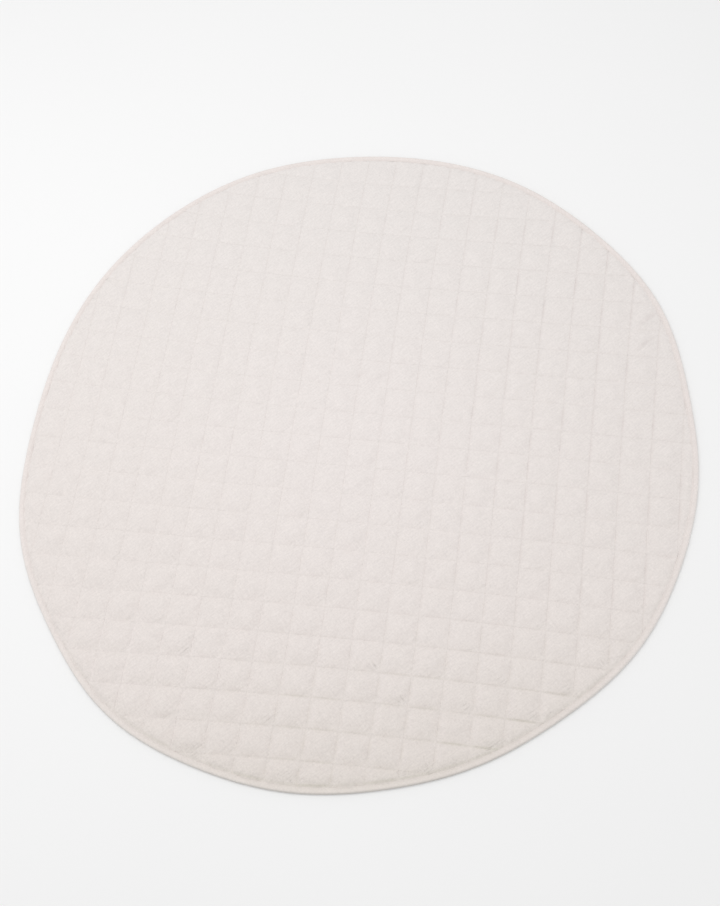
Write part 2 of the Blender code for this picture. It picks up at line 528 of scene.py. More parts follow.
def seam_painted_shading(cell_u, cell_v, x, y):
    """How much deeper each colour is from painted shade along the seams, behind the row seams and
    in the placed creases, and how much paler from painted light beside the column seams.
    """
    rows, columns, lit, front = seam_shares(x, y)
    tone = np.zeros_like(cell_u)
    ways = (
        (cell_u, cell_v, columns, COLUMN_TONE_ASIDE, COLUMN_TONE_SEED),
        (cell_v, cell_u, rows, 0.0, ROW_TONE_SEED),
    )
    for across, along, share, aside, seed in ways:
        line = np.round(across)
        band = hump(across - line, aside, SEAM_TONE_WIDTH)
        arch = np.sqrt(np.abs(np.sin(math.pi * along)))
        uneven = SEAM_TONE_LEAST + SEAM_TONE_SPREAD * scatter(line, np.floor(along), seed)
        tone += SEAM_TONE * share * band * arch * uneven
    beside = hump(cell_u - np.round(cell_u), LIT_PLACE, LIT_WIDTH)
    tone += LIT_TONE * lit * beside * np.abs(np.sin(math.pi * cell_v))
    above = hump(cell_v - np.round(cell_v), EAVE_PLACE, EAVE_WIDTH)
    tone += EAVE_TONE * front * above * np.abs(np.sin(math.pi * cell_u))
    # Painted shade in the placed creases.
    tone += crease_field(x, y, [c.tone for c in CREASES], 0, CREASE_TONE_SPREAD)
    share = front[:, None]
    depth = share * np.array(PAINTED_SHADE_DEPTH) + (1 - share) * np.array(BACK_PAINTED_SHADE_DEPTH)
    return tone[:, None] * depth


def fold_tone(cell_u, cell_v, x, y, inset):
    """How much deeper each colour is at each point of the pad from painted shade, and how much
    paler from painted light.
    """
    # Painted light at the crossings and in the middle; painted shade towards the front and inside
    # the shaded rim.
    aside = hump(cell_u - np.round(cell_u), COLUMN_TONE_ASIDE, SEAM_TONE_WIDTH)
    tone = CROSSING_TONE * aside * hump(cell_v - np.round(cell_v), 0.0, SEAM_TONE_WIDTH)
    toward = math.radians(FRONT_TONE_TOWARD_DEG)
    ahead = x * math.cos(toward) + y * math.sin(toward)
    tone += FRONT_TONE * np.clip((ahead - FRONT_TONE_START) / FRONT_TONE_REACH, 0, 1)
    tone += MIDDLE_TONE * hump(np.hypot(x, y), 0, MIDDLE_RADIUS)
    edge = hump(inset, EDGE_TONE_PLACE, EDGE_TONE_WIDTH)
    tone += EDGE_TONE * edge * shaded_side(np.arctan2(y, x))
    return seam_painted_shading(cell_u, cell_v, x, y) + np.outer(tone, PAINTED_SHADE_DEPTH)


def cloth_grid(shares):
    """One layer of the pad as a round sheet of quads: its points by name, and its faces."""
    lines = np.add.outer(np.arange(-HALF_CELLS, HALF_CELLS), shares).ravel()
    cell_u, cell_v = [side.ravel() for side in np.meshgrid(lines, lines, indexing="ij")]
    x, y = drifted(COLUMN_SEAM_X + CELL * cell_u, ROW_SEAM_Y + CELL * cell_v)
    stretch = edge_stretch(np.arctan2(y, x))
    inset = MEAN_RADIUS - np.hypot(x, y) / stretch
    index = np.arange(len(lines) ** 2).reshape(len(lines), len(lines))
    corners = (index[:-1, :-1], index[1:, :-1], index[1:, 1:], index[:-1, 1:])
    quads = np.stack(corners, -1).reshape(-1, 4)
    quads = quads[(inset[quads] > PAD_EDGE_INSET).any(1)]
    outside = inset < PAD_EDGE_INSET
    back_in = (MEAN_RADIUS - PAD_EDGE_INSET) / (MEAN_RADIUS - inset[outside])
    x[outside] *= back_in
    y[outside] *= back_in
    inset[outside] = PAD_EDGE_INSET
    used, faces = np.unique(quads, return_inverse=True)
    layer = {"x": x, "y": y, "cell_u": cell_u, "cell_v": cell_v, "inset": inset}
    layer = {name: values[used] for name, values in layer.items()}
    return layer, faces.reshape(-1, 4)


def rim_loop(faces, x):
    """The indices of a sheet's outer points, in order round it, counterclockwise."""
    sides = np.concatenate([faces[:, [i, (i + 1) % 4]] for i in range(4)])
    known = {(a, b) for a, b in sides.tolist()}
    following = {a: b for a, b in known if (b, a) not in known}
    start = max(following, key=lambda i: x[i])
    loop = [start]
    while following[loop[-1]] != start:
        loop.append(following[loop[-1]])
    return loop


def zipped(upper, lower, angle):
    """Triangles that join two rings of points, each in order round the mat."""

    def turned_from_start(ring):
        turned = np.unwrap(angle[ring])
        return turned - turned[0]

    lower_start = int(np.argmin(np.abs(angle[lower] - angle[upper[0]])))
    lower = lower[lower_start:] + lower[:lower_start]
    first, second = turned_from_start(upper), turned_from_start(lower)
    first = np.append(first, 2 * math.pi)
    second = np.append(second, 2 * math.pi)
    faces = []
    i = j = 0
    while i < len(upper) or j < len(lower):
        top, foot = upper[i % len(upper)], lower[j % len(lower)]
        if j == len(lower) or (i < len(upper) and first[i + 1] <= second[j + 1]):
            faces.append((top, foot, upper[(i + 1) % len(upper)]))
            i += 1
        else:
            faces.append((top, foot, lower[(j + 1) % len(lower)]))
            j += 1
    return faces


def add_values(mesh, **fields):
    """Keeps a number, or a vector, for each point of a mesh."""
    for name, values in fields.items():
        values = np.asarray(values, np.float32)
        kind, slot_name = ("FLOAT", "value") if values.ndim == 1 else ("FLOAT_VECTOR", "vector")
        mesh.attributes.new(name, kind, "POINT").data.foreach_set(slot_name, values.ravel())


def link_mesh(name, points, faces, edges=()):
    mesh = bpy.data.meshes.new(name)
    mesh.from_pydata(np.asarray(points).tolist(), list(edges), [list(face) for face in faces])
    mesh.validate()
    obj = bpy.data.objects.new(name, mesh)
    bpy.context.scene.collection.objects.link(obj)
    return obj


def pad_layers():
    """The face and the back of the pad before the puffs rise, with their heights."""
    face, face_quads = cloth_grid(FACE_LINES)
    back, back_quads = cloth_grid(BACK_LINES)
    settle = smooth_step(PAD_EDGE_INSET, RIM_TUCK, face["inset"])
    lip_top = RIM_TUCK + RIM_LIP_RUN
    lip = RIM_LIP * smooth_step(RIM_TUCK, lip_top, face["inset"])
    lip = lip * (1 - smooth_step(lip_top, RIM_TUCK + RIM_SHOULDER, face["inset"]))
    face["z"] = PAD_EDGE_TOP + (SEAM_HEIGHT - PAD_EDGE_TOP) * settle + lip
    lift = 1 - smooth_step(RIM_TUCK, RIM_TUCK + BACK_LIFT_RUN, back["inset"])
    seams_off = [np.abs(back[key] - np.round(back[key])) * CELL for key in ("cell_u", "cell_v")]
    recess = BACK_SEAM_RECESS * hump(np.minimum(*seams_off), 0, BACK_SEAM_WIDTH)
    back["z"] = np.maximum(PAD_EDGE_FOOT * lift, recess)
    return face, face_quads, back, back_quads


def flat_pad():
    """The pad before its puffs rise: a closed slab of two layers that meet inside the binding."""
    face, face_quads, back, back_quads = pad_layers()
    both = {name: np.concatenate([face[name], back[name]]) for name in face}
    cell_u, cell_v, x, y, z, inset = (
        both[name] for name in ("cell_u", "cell_v", "x", "y", "z", "inset")
    )
    shift = len(face["x"])
    angle = np.arctan2(y, x)
    upper = rim_loop(face_quads, face["x"])
    lower = [i + shift for i in rim_loop(back_quads, back["x"])]
    back_faces = back_quads[:, ::-1] + shift
    faces = [*face_quads.tolist(), *back_faces.tolist(), *zipped(upper, lower, angle)]
    pad = link_mesh("quilted_pad", np.stack([x, y, z], 1), faces)

    is_face = np.arange(len(x)) < shift
    rise = 1 - (1 - np.clip((inset - RIM_TUCK) / RIM_SHOULDER, 0, 1)) ** 2
    depths = [crease.depth_mm * MM for crease in CREASES]
    crumpled = crease_field(x, y, depths, 0, STROKES_SPREAD) / STROKES_FULL_DEPTH
    crumpled = STROKES_SHARE * np.clip(crumpled, 0, 1)
    crumpled = crumpled * smooth_step(*STROKES_FRONT, -y / MEAN_RADIUS)
    add_values(
        pad.data,
        cell_u=cell_u,
        cell_v=cell_v,
        fullness=fullness(np.floor(cell_u + ROUNDING), np.floor(cell_v + ROUNDING)),
        rim_rise=rise * is_face,
        crease=crease_field(x, y, depths) * is_face,
        fold_tone=fold_tone(cell_u, cell_v, x, y, inset),
        rim_place=np.stack([inset, shaded_side(angle), crumpled], 1),
        cell_place=np.stack([cell_u, cell_v, z], 1),
        cloth_place=np.stack([cell_u * CELL, cell_v * CELL, z], 1),
    )
    return pad


def bow(tree, cells, roundness):
    """A pillow's arch over each cell: 0 on the seams and 1 between them."""
    arch = maths(tree, "SINE", product(tree, maths(tree, "FRACT", cells), math.pi))
    return maths(tree, "POWER", maths(tree, "MAXIMUM", arch, 0.0), roundness)


def from_seam(tree, cells):
    return maths(tree, "PINGPONG", cells, 0.5)


def beside_seam(tree, cells, reach):
    """0 on a seam, 1 a short way beside it and fading further out, by cells."""
    away = maths(tree, "DIVIDE", from_seam(tree, cells), reach)
    return product(tree, away, maths(tree, "EXPONENT", minus(tree, 1.0, away)))


def bell(tree, value, middle, width):
    """1 where a value is at the middle, falling off to 0 within about two widths of it."""
    away = maths(tree, "DIVIDE", minus(tree, value, middle), width)
    return maths(tree, "EXPONENT", product(tree, away, away, -1.0))


def signed_noise(tree, spot, scale, detail=1.0):
    inputs = {"Vector": spot, "Scale": scale, "Detail": detail}
    return linear(tree, made(tree, "ShaderNodeTexNoise", inputs), 2.0, -1.0)


def puff_lumps(tree, given, rise, full):
    """Soft lumps in the wadding, and the slanting drags of the cloth over it."""
    spot = made(tree, "GeometryNodeInputPosition")
    lumps = product(tree, signed_noise(tree, spot, given["Lump Scale"]), given["Lump Height"])
    inputs = {"Vector": spot, "Angle": DRAG_TURN}
    turned = made(tree, "ShaderNodeVectorRotate", inputs, rotation_type="Z_AXIS")
    drawn = vector_maths(tree, "MULTIPLY", turned, DRAG_SCALE)
    drags = product(tree, signed_noise(tree, drawn, 1.0), given["Drag Height"])
    return product(tree, total(tree, lumps, drags), maths(tree, "SQRT", rise), full)


def seam_pinch(tree, given, cell_u, cell_v, rim, full):
    """How far the stitches pull the cloth down, most of all between two crossings."""
    ways = [
        product(tree, bell(tree, from_seam(tree, across), 0.0, given["Pinch Width"]), arch)
        for across, arch in (
            (cell_u, bow(tree, cell_v, PINCH_ARCH)),
            (cell_v, bow(tree, cell_u, PINCH_ARCH)),
        )
    ]
    return product(tree, maths(tree, "MAXIMUM", *ways), rim, full, given["Pinch Depth"])


def seam_puckers(tree, given, cell_u, cell_v, rim, full):
    """Small ripples on both sides of the seams, first of the columns and then of the rows."""
    run = product(tree, total(tree, cell_u, cell_v), given["Puckers Per Cell"])
    cross = product(tree, minus(tree, cell_u, cell_v), PUCKER_STRETCH)
    ripples = []
    for across, seed in zip((cell_u, cell_v), PUCKER_SEEDS):
        ripple = signed_noise(tree, vector(tree, cross, run, seed), 1.0)
        share = product(tree, beside_seam(tree, across, given["Pucker Reach"]), rim, full)
        ripples.append(product(tree, ripple, share, given["Pucker Height"]))
    return ripples


def puffed_quilting_tree():
    tree, given = geometry_tree(
        "puffed_quilting",
        {
            "Puff Height": CROWN_HEIGHT - SEAM_HEIGHT,
            "Roundness": 1.0,
            "Pinch Depth": 0.0001,
            "Pinch Width": PINCH_WIDTH / CELL,
            "Lump Height": 0.0025,
            "Lump Scale": 45.0,
            "Drag Height": 0.0017,
            "Pucker Height": 0.0010,
            "Puckers Per Cell": 6.0,
            "Pucker Reach": 0.09,
            "Cloth": "Material",
        },
    )
    cell_u, cell_v, rim, full, crease = (
        kept_value(tree, name) for name in ("cell_u", "cell_v", "rim_rise", "fullness", "crease")
    )
    arch = product(tree, *(bow(tree, cells, given["Roundness"]) for cells in (cell_u, cell_v)))
    rise = product(tree, arch, rim, full)
    height = product(tree, rise, given["Puff Height"])
    height = total(tree, height, puff_lumps(tree, given, rise, full))
    pinch = seam_pinch(tree, given, cell_u, cell_v, rim, full)
    height = minus(tree, height, pinch)
    height = total(tree, height, *seam_puckers(tree, given, cell_u, cell_v, rim, full))
    height = minus(tree, height, crease)
    hand_out(tree, moved(tree, given["Geometry"], vector(tree, 0.0, 0.0, height)), given["Cloth"])
    return tree


def binding_marks(angle):
    """How far the strip's small dents and swellings lift it and push it outwards."""
    lift, outward = np.zeros_like(angle), np.zeros_like(angle)
    for mark in BINDING_MARKS:
        run = MEAN_RADIUS * np.radians((np.degrees(angle) - mark.toward_deg + 180) % 360 - 180)
        share = hump(run, 0, mark.length_mm * MM / 2)
        lift += mark.lift_mm * MM * share
        outward += mark.outward_mm * MM * share
    return lift, outward


def strip_points():
    """The points of the folded strip before its ripples, by step round the edge and by corner."""
    angle = np.arange(BINDING_STEPS) * (2 * math.pi / BINDING_STEPS)
    inset, height = np.array(BINDING_SECTION).T * MM
    lift, outward = binding_marks(angle)
    past_lap = MEAN_RADIUS * (angle - math.radians(LAP_DEG))[:, None] - inset
    lap = smooth_step(0, LAP_EDGE, past_lap) * (1 - smooth_step(LAP_EDGE, LAP_LENGTH, past_lap))
    upper = smooth_step(*BINDING_UPPER, height)
    upper = upper * (np.arange(len(BINDING_SECTION)) < BINDING_INNER_START)
    raised = height + upper * (lift[:, None] + LAP_STEP * lap)
    outer = 1 - smooth_step(*BINDING_OUTER, inset)
    radius = edge_stretch(angle)[:, None] * (MEAN_RADIUS - inset)
    radius = radius + outer * upper * outward[:, None]
    x = radius * np.cos(angle)[:, None]
    y = radius * np.sin(angle)[:, None]
    return angle, inset, height, upper, np.stack([x, y, raised], -1).reshape(-1, 3)


def strip_faces():
    corners = len(BINDING_SECTION)
    step, corner = np.meshgrid(np.arange(BINDING_STEPS), np.arange(corners), indexing="ij")
    here, further = step * corners, (step + 1) % BINDING_STEPS * corners
    next_corner = (corner + 1) % corners
    quad = (further + corner, further + next_corner, here + next_corner, here + corner)
    return np.stack(quad, -1).reshape(-1, 4)


def strip_painted_shading(angle, inset):
    """How much deeper each colour of the strip is from painted shade: on its shaded side, and most
    at its outer line.

    Where the light falls on it, the outer line is paler instead, with painted light.
    """
    shaded = shaded_side(angle)
    outermost = 1 - smooth_step(*BINDING_OUTERMOST, inset)
    line = np.outer(np.outer(shaded, outermost), BINDING_TONE * np.array(BINDING_TONE_DEPTH))
    front_depth = BINDING_FRONT_TONE * np.array(BINDING_FRONT_DEPTH)
    front = np.outer(np.repeat(shaded, len(inset)), front_depth)
    return line + front + np.outer(np.outer(1 - shaded, outermost), BINDING_LIT_DEPTH)


def binding_strip():
    """The folded strip before its ripples: the section carried once round the edge."""
    angle, inset, height, upper, points = strip_points()
    strip = link_mesh("rim_binding", points, strip_faces())
    girth = np.hypot(np.diff(inset, append=inset[0]), np.diff(height, append=height[0])).cumsum()
    run = np.repeat(angle * MEAN_RADIUS, len(inset))
    across = np.tile(girth, BINDING_STEPS)
    add_values(
        strip.data,
        cloth_place=np.stack([run, across, np.zeros_like(run)], 1),
        ripple_share=np.tile(upper, BINDING_STEPS),
        fold_tone=strip_painted_shading(angle, inset),
    )
    return strip


def rippled_strip_tree():
    tree, given = geometry_tree(
        "rippled_strip",
        {"Ripple Height": 0.00030, "Ripples Per Metre": 110.0, "Cloth": "Material"},
    )
    where = kept_value(tree, "cloth_place", "FLOAT_VECTOR")
    ripple = signed_noise(tree, where, given["Ripples Per Metre"])
    size = product(tree, ripple, kept_value(tree, "ripple_share"), given["Ripple Height"])
    push = scaled(tree, made(tree, "GeometryNodeInputNormal"), size)
    hand_out(tree, moved(tree, given["Geometry"], push), given["Cloth"])
    return tree


def one_stitch(tree, given):
    """A grain of thread one metre long, lying along X."""
    inputs = {"Segments": given["Sides"], "Rings": given["Rings"], "Radius": 0.5}
    grain = made(tree, "GeometryNodeMeshUVSphere", inputs)
    inputs = {"Geometry": smoothed(tree, grain), "Rotation": (0.0, math.pi / 2, 0.0)}
    return made(tree, "GeometryNodeTransform", inputs)


def stitch_size(tree, given):
    """The length and width of each stitch, a little different from one to the next."""
    length = product(tree, given["Stitch Pitch"], given["Stitch Share"])
    even = vector(tree, length, given["Thread Width"], given["Thread Width"])
    inputs = {"Min": STITCH_LEAST, "Max": STITCH_MOST, "Seed": given["Seed"]}
    vary = made(tree, "FunctionNodeRandomValue", inputs, data_type="FLOAT_VECTOR")
    return vector_maths(tree, "MULTIPLY", even, vary)


def sewn_line_tree():
    """Stitches laid end to end along the edges that it is given."""
    tree, given = geometry_tree(
        "sewn_line",
        {
            "Stitch Pitch": QUILTING_STITCH_PITCH,
            "Stitch Share": 0.80,
            "Thread Width": THREAD_WIDTH,
            "Sides": 5,
            "Rings": 4,
            "Seed": 11,
            "Thread": "Material",
        },
    )
    path = made(tree, "GeometryNodeMeshToCurve", {"Mesh": given["Geometry"]})
    inputs = {"Curve": path, "Length": given["Stitch Pitch"]}
    marks = made(tree, "GeometryNodeResampleCurve", inputs, mode="LENGTH")
    inputs = {"Vector": made(tree, "GeometryNodeInputTangent")}
    heading = made(tree, "FunctionNodeAlignRotationToVector", inputs, axis="X")
    inputs = {
        "Points": marks,
        "Instance": one_stitch(tree, given),
        "Rotation": heading,
        "Scale": stitch_size(tree, given),
    }
    sewn = made(tree, "GeometryNodeInstanceOnPoints", inputs)
    hand_out(tree, sewn, given["Thread"])
    return tree


def seam_path(pad, name, across):
    """The lines of the pad's mesh that lie on its seams one way, as a mesh of edges."""
    mesh = pad.data
    points = np.empty(len(mesh.vertices) * 3, np.float32)
    mesh.vertices.foreach_get("co", points)
    edges = np.empty(len(mesh.edges) * 2, np.int32)
    mesh.edges.foreach_get("vertices", edges)
    points, edges = points.reshape(-1, 3), edges.reshape(-1, 2)
    cells, rise = np.empty((2, len(points)), np.float32)
    mesh.attributes[across].data.foreach_get("value", cells)
    mesh.attributes["rim_rise"].data.foreach_get("value", rise)
    on_seam = (np.abs(cells - np.round(cells)) < SEAM_SLACK) & (rise > 0)
    same_seam = np.abs(cells[edges[:, 0]] - cells[edges[:, 1]]) < SEAM_SLACK
    kept = edges[on_seam[edges].all(1) & same_seam]
    used, numbered = np.unique(kept, return_inverse=True)
    lifted = points[used] + np.array([0, 0, THREAD_WIDTH / 2 - THREAD_SINK])
    return link_mesh(name, lifted, [], numbered.reshape(-1, 2).tolist())


def binding_path(strip, name):
    """The line of stitching round the binding, on the face of the strip."""
    corners = len(BINDING_SECTION)
    starts = range(STITCH_LINE, BINDING_STEPS * corners, corners)
    points = [strip.data.vertices[start].co for start in starts]
    lifted = [(p.x, p.y, p.z + THREAD_WIDTH / 2 - THREAD_SINK) for p in points]
    edges = [(i, (i + 1) % BINDING_STEPS) for i in range(BINDING_STEPS)]
    return link_mesh(name, lifted, [], edges)


def threads(tree, given, turned):
    """The crossing threads of a plain weave, and the thicker ones here and there both ways."""
    warp, weft = axes(tree, turned)[:2]
    wander = product(tree, signed_noise(tree, turned, given["Wander Scale"]), given["Wander"])
    waves, slubs = [], []
    for run, other, seed in ((warp, weft, WARP_SEED), (weft, warp, WEFT_SEED)):
        count = total(tree, product(tree, run, given["Threads Per Metre"]), wander)
        waves.append(maths(tree, "SINE", product(tree, count, math.pi)))
        wide = product(tree, run, given["Slubs Across"])
        long = product(tree, other, given["Slubs Along"])
        slubs.append(signed_noise(tree, vector(tree, wide, long, seed), 1.0, THREAD_DETAIL))
    both = linear(tree, slubs[1], given["Weft Slub Share"], slubs[0])
    return product(tree, *waves), both


def woven_cloth_group():
    """A plain weave with thicker threads here and there, for any cloth of the mat."""
    tree, given = new_tree(
        "woven_cloth",
        "ShaderNodeTree",
        {
            "Place": "Vector",
            "Colour": CLOTH_COLOUR,
            "Threads Per Metre": 1100.0,
            "Wander": 0.25,
            "Wander Scale": 90.0,
            "Weave Height": 0.35,
            "Weave Tone": 0.01,
            "Slubs Across": 480.0,
            "Slubs Along": 55.0,
            "Weft Slub Share": 0.55,
            "Slub Height": 0.8,
            "Slub Tone": 0.075,
            "Cloudiness": 0.02,
            "Cloud Scale": 14.0,
            "Grain Tone": 0.085,
            "Grain Scale": 330.0,
            "Painted Shading": (0.0, 0.0, 0.0),
            "Warmth Per Metre": 0.0,
            "Rough Low": 0.82,
            "Rough High": 0.95,
        },
        {"Colour": "Color", "Roughness": "Float", "Height": "Float"},
    )
    inputs = {"Vector": given["Place"], "Rotation": (0.0, 0.0, WEAVE_TURN)}
    turned = made(tree, "ShaderNodeMapping", inputs)
    weave, slubs = threads(tree, given, turned)
    woven = product(tree, weave, given["Weave Height"])
    height = linear(tree, slubs, given["Slub Height"], woven)
    cloud = signed_noise(tree, given["Place"], given["Cloud Scale"], CLOUD_DETAIL)
    grain = signed_noise(tree, turned, given["Grain Scale"], THREAD_DETAIL)
    tone = total(
        tree,
        product(tree, slubs, given["Slub Tone"]),
        product(tree, cloud, given["Cloudiness"]),
        product(tree, weave, given["Weave Tone"]),
        product(tree, grain, given["Grain Tone"]),
    )
    # Painted shade: the cloth grows more saturated towards the front, where less light falls.
    to_back = axes(tree, given["Place"])[1]
    warmth = minus(tree, 1.0, product(tree, to_back, given["Warmth Per Metre"]))
    inputs = {"Color": given["Colour"], "Saturation": warmth, "Value": total(tree, 1.0, tone)}
    even = made(tree, "ShaderNodeHueSaturation", inputs)
    # The painted shade and painted light darken or lighten the woven colour.
    left = vector_maths(tree, "SUBTRACT", (1.0, 1.0, 1.0), given["Painted Shading"])
    colour = vector_maths(tree, "MULTIPLY", even, left)
    inputs = {
        "Value": height,
        "From Min": -1.0,
        "From Max": 1.0,
        "To Min": given["Rough Low"],
        "To Max": given["Rough High"],
    }
    rough = made(tree, "ShaderNodeMapRange", inputs)
    place(tree, "NodeGroupOutput", {"Colour": colour, "Roughness": rough, "Height": height})
    return tree


def chosen(tree, chance, often, sharpness):
    """1 where a chance is high, 0 where it is low, and a slope between. More with `often`."""
    raised = total(tree, chance, often)
    share = linear(tree, raised, sharpness, 1.0 - sharpness)
    return maths(tree, "MINIMUM", maths(tree, "MAXIMUM", share, 0.0), 1.0)


def stripes(tree, run, spacing, start=0.0):
    """Narrow lines at this spacing, 1 along their middles and 0 between them."""
    turn = linear(tree, maths(tree, "DIVIDE", run, spacing), 2 * math.pi, start)
    wave = linear(tree, maths(tree, "SINE", turn), 0.5, 0.5)
    return maths(tree, "POWER", wave, STRIPE_SHARPNESS)


def corner_arcs(tree, given, from_right, from_front, chance, to_front):
    """A curved crease round the near right corner of a puff, longer in some than in others."""
    radius = given["Corner Radius"]
    shorter = linear(tree, chance[2], *ARC_SHORTER)
    aside = minus(tree, radius, product(tree, from_right, shorter))
    below = minus(tree, radius, from_front)
    aside = maths(tree, "MAXIMUM", aside, 0.0)
    below = maths(tree, "MAXIMUM", below, 0.0)
    squares = total(tree, product(tree, aside, aside), product(tree, below, below))
    nearer = maths(tree, "MINIMUM", aside, below)
    ends = maths(tree, "MINIMUM", product(tree, nearer, ARC_END_SHARPNESS), 1.0)
    ring = product(tree, radius, ARC_RADIUS_SHARE)
    arc = bell(tree, maths(tree, "SQRT", squares), ring, given["Corner Width"])
    often = product(tree, to_front, ARC_OFTEN_TO_FRONT)
    return product(tree, product(tree, arc, ends), chosen(tree, chance[0], often, ARC_CHOICE))


def corner_strokes(tree, given, from_right, from_front, chance, to_front):
    """Short strokes near the same corner, which run one of two ways by chance."""
    inward = product(tree, total(tree, from_right, from_front), math.sqrt(0.5))
    sideways = product(tree, minus(tree, from_right, from_front), math.sqrt(0.5))
    lengthwise = bell(tree, inward, STROKES_PLACE, STROKES_LENGTH)
    spot = product(tree, lengthwise, bell(tree, sideways, 0.0, STROKES_WIDTH))
    other_way = maths(tree, "GREATER_THAN", chance[0], STROKES_WAY_CHANCE)
    between = minus(tree, inward, sideways)
    way = linear(tree, between, other_way, sideways)
    lines = stripes(tree, way, given["Stroke Spacing"], STROKES_START)
    often = linear(tree, to_front, *STROKES_OFTEN)
    return product(tree, lines, spot, chosen(tree, chance[1], often, STROKES_CHOICE))


def rim_line(tree, given, rim, cell, chance):
    """A line of painted shade inside the shaded rim, uneven from cell to cell and fainter at the
    seams.
    """
    line = bell(tree, rim[0], given["Rim Painted Shade Place"], given["Rim Painted Shade Width"])
    uneven = linear(tree, chance[2], *RIM_LINE_UNEVEN)
    between = maths(tree, "MINIMUM", *(from_seam(tree, cells) for cells in cell[:2]))
    share = linear(tree, between, *RIM_LINE_AT_SEAM)
    share = product(tree, uneven, maths(tree, "MINIMUM", share, 1.0))
    return product(tree, line, rim[1], share)


def rim_hatch(tree, given, rim, cell, near_rim):
    """Slanting strokes in patches beside the shaded rim, and over the creases at the front."""
    patch = signed_noise(tree, given["Cells"], RIM_PATCH_SCALE)
    patch = chosen(tree, patch, RIM_PATCH_OFTEN, RIM_PATCH_CHOICE)
    patch = maths(tree, "MAXIMUM", product(tree, patch, near_rim), rim[2])
    cross = minus(tree, cell[0], cell[1])
    return product(tree, stripes(tree, cross, given["Stroke Spacing"]), patch)


def crumples(tree, given, cell, near_rim, to_front):
    """Small slanting crumples all over, higher towards the front and beside the shaded rim."""
    across = product(tree, minus(tree, cell[0], cell[1]), CRUMPLES_ACROSS)
    along = product(tree, total(tree, cell[0], cell[1]), CRUMPLES_ALONG)
    crumple = signed_noise(tree, vector(tree, across, along), 1.0, CRUMPLE_DETAIL)
    size = product(tree, total(tree, to_front, CRUMPLE_LEAST), given["Crumple Height"])
    return product(tree, crumple, linear(tree, near_rim, given["Rim Crumple Height"], size))


def cell_chances(tree, cells):
    """Three chances from 0 to 1, the same all over a cell."""
    number = vector_maths(tree, "FLOOR", cells)
    number = vector_maths(tree, "MULTIPLY", number, (1.0, 1.0, 0.0))
    noise = place(tree, "ShaderNodeTexWhiteNoise", {"Vector": number}, noise_dimensions="3D")
    return place(tree, "ShaderNodeSeparateColor", {0: noise.outputs["Color"]}).outputs


def pulled_marks_group():
    """What the sewing does to the puffs: rounded corners and short strokes, dented and with painted
    shade in them, and a line of painted shade inside the rim.

    Rim holds the distance from the edge, how shaded the rim is there, and how strong the strokes
    over a placed crease are.
    """
    tree, given = new_tree(
        "pulled_marks",
        "ShaderNodeTree",
        {
            "Cells": "Vector",
            "Rim": "Vector",
            "Corner Radius": 0.30,
            "Corner Width": 0.040,
            "Corner Depth": 0.0005,
            "Corner Painted Shade": 0.016,
            "Stroke Spacing": 0.13,
            "Stroke Depth": 0.0008,
            "Stroke Painted Shade": 0.030,
            "Crumple Height": 0.0009,
            "Rim Crumple Height": 0.0008,
            "Rim Painted Shade": 0.062,
            "Rim Painted Shade Place": 0.0130,
            "Rim Painted Shade Width": 0.0022,
        },
        {"Height": "Float", "Tone": "Vector"},
    )
    cell = axes(tree, given["Cells"])
    rim = axes(tree, given["Rim"])
    chance = cell_chances(tree, given["Cells"])
    from_right = minus(tree, 1.0, maths(tree, "FRACT", cell[0]))
    from_front = maths(tree, "FRACT", cell[1])
    to_front = maths(tree, "DIVIDE", cell[1], -float(HALF_CELLS))
    to_front = maths(tree, "MAXIMUM", to_front, 0.0)
    arc = corner_arcs(tree, given, from_right, from_front, chance, to_front)
    strokes = corner_strokes(tree, given, from_right, from_front, chance, to_front)

    near_rim = product(tree, bell(tree, rim[0], RIM_MARKS_PLACE, RIM_MARKS_WIDTH), rim[1])
    strokes = total(tree, strokes, rim_hatch(tree, given, rim, cell, near_rim))
    line = rim_line(tree, given, rim, cell, chance)

    troughs = product(tree, strokes, given["Stroke Depth"])
    troughs = linear(tree, arc, given["Corner Depth"], troughs)
    height = minus(tree, crumples(tree, given, cell, near_rim, to_front), troughs)
    # Painted shade in the corner arcs, in the strokes and along the line inside the shaded rim.
    tone = product(tree, arc, given["Corner Painted Shade"])
    tone = linear(tree, strokes, given["Stroke Painted Shade"], tone)
    tone = linear(tree, line, given["Rim Painted Shade"], tone)
    deeper = scaled(tree, PAINTED_SHADE_DEPTH, tone)
    place(tree, "NodeGroupOutput", {"Height": height, "Tone": deeper})
    return tree


def new_material(name):
    """A material, its tree and the inputs of its Principled shader."""
    material = bpy.data.materials.new(name)
    material.use_nodes = True
    tree = material.node_tree
    return material, tree, tree.nodes["Principled BSDF"].inputs


def cloth_material(name, weave, colour, marks=None, **values):
    material, tree, surface = new_material(name)
    # The painted shade and painted light kept on the piece; the sewing marks add their own painted
    # shade to it.
    deeper = kept_vector(tree, "fold_tone")
    if marks:
        inputs = {"Cells": kept_vector(tree, "cell_place"), "Rim": kept_vector(tree, "rim_place")}
        pulled = place(tree, "ShaderNodeGroup", inputs, node_tree=marks).outputs
        deeper = vector_maths(tree, "ADD", deeper, pulled["Tone"])
    inputs = {key.replace("_", " "): value for key, value in values.items()}
    inputs.update({"Place": kept_vector(tree, "cloth_place"), "Colour": colour})
    inputs["Painted Shading"] = deeper
    cloth = place(tree, "ShaderNodeGroup", inputs, node_tree=weave).outputs
    inputs = {"Height": cloth["Height"], "Distance": CLOTH_RELIEF, "Strength": 1.0}
    bump = made(tree, "ShaderNodeBump", inputs)
    if marks:
        inputs = {"Height": pulled["Height"], "Distance": 1.0, "Normal": bump}
        bump = made(tree, "ShaderNodeBump", inputs)
    inputs = {"Base Color": cloth["Colour"], "Roughness": cloth["Roughness"], "Normal": bump}
    fill(tree, surface, inputs)
    inputs = {"Specular IOR Level": 0.25, "Sheen Weight": CLOTH_SHEEN, "Sheen Roughness": 0.5}
    fill(tree, surface, inputs)
    return material


